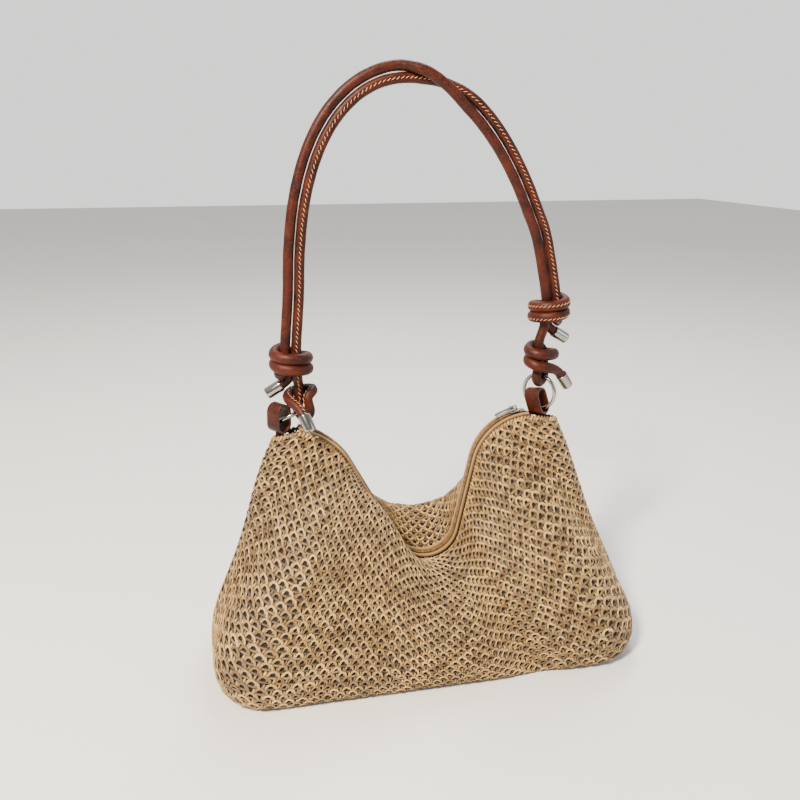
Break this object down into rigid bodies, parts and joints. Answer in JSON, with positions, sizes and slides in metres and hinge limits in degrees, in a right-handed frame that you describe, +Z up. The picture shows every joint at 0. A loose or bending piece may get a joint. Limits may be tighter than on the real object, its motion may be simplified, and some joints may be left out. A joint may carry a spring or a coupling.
{
  "type": "hobo bag",
  "caption": "Slouchy open-mesh raffia shoulder bag with a sagging zipped mouth and a knotted two-cord rolled leather handle on metal rings.",
  "frame": {"origin": "middle of the flat base, on the floor, midway between the base's front and back edges and its two ends", "axes": "+X along the bag to the end beside the zip's slider when closed, +Y from the front panel to the back panel, +Z up"},
  "size_m": [0.4052, 0.1644, 0.5381],
  "materials": {
    "raffia": "open knitted mesh of flat paper raffia",
    "facing": "plain woven cotton tape",
    "zip_tape": "ribbed polyester zip tape",
    "zip_coil": "nylon coil",
    "leather": "smooth waxed",
    "nickel": "polished nickel plate",
    "cotton": "bundled cotton string"
  },
  "bodies": {
    "bag": {"front_panel": "raffia", "back_panel": "raffia", "side_seam_tape_left": "facing", "side_seam_tape_right": "facing", "base_seam_tape": "facing", "mouth_binding_front": "facing", "mouth_binding_back": "facing", "zip_tape_front": "zip_tape", "zip_tape_back": "zip_tape", "zip_coil_front": "zip_coil", "zip_coil_back": "zip_coil", "zip_stop_right": "nickel", "zip_stop_left": "nickel", "tab_left": "leather", "tab_right": "leather"},
    "zip_slider": {"zip_slider": "nickel"},
    "zip_pull": {"zip_pull": "nickel"},
    "handle": {"cord_sleeve_a": "leather", "cord_sleeve_b": "leather", "cord_filler_a": "cotton", "cord_filler_b": "cotton", "cap_upper_left": "nickel", "cap_upper_right": "nickel", "cap_lower_left": "nickel", "cap_lower_right": "nickel"},
    "ring_left": {"ring_left": "nickel"},
    "ring_right": {"ring_right": "nickel"}
  },
  "joints": [
    {"name": "handle_swing", "type": "hinge", "parent": "bag", "child": "handle", "pos_m": [0, 0.02, 0.2315], "axis": [1, 0, 0], "range_deg": [-38, 50], "deforming": ["tab_left", "tab_right"]},
    {"name": "ring_left_spin", "type": "hinge", "parent": "handle", "child": "ring_left", "pos_m": [-0.11817, 0.02922, 0.23687], "axis": [-0.3899, 0.3299, 0.8597], "continuous": true},
    {"name": "ring_right_spin", "type": "hinge", "parent": "handle", "child": "ring_right", "pos_m": [0.117, 0.02, 0.2479], "axis": [0.788, 0.6157, 0], "continuous": true},
    {"name": "zip_slide", "type": "hinge", "parent": "bag", "child": "zip_slider", "pos_m": [0.105, 0.02, 0.174], "axis": [0, -1, 0], "range_deg": [0, 57]},
    {"name": "pull_flip", "type": "hinge", "parent": "zip_slider", "child": "zip_pull", "pos_m": [0.09141, 0.02, 0.23285], "axis": [0, 1, 0], "range_deg": [0, 95]}
  ]
}
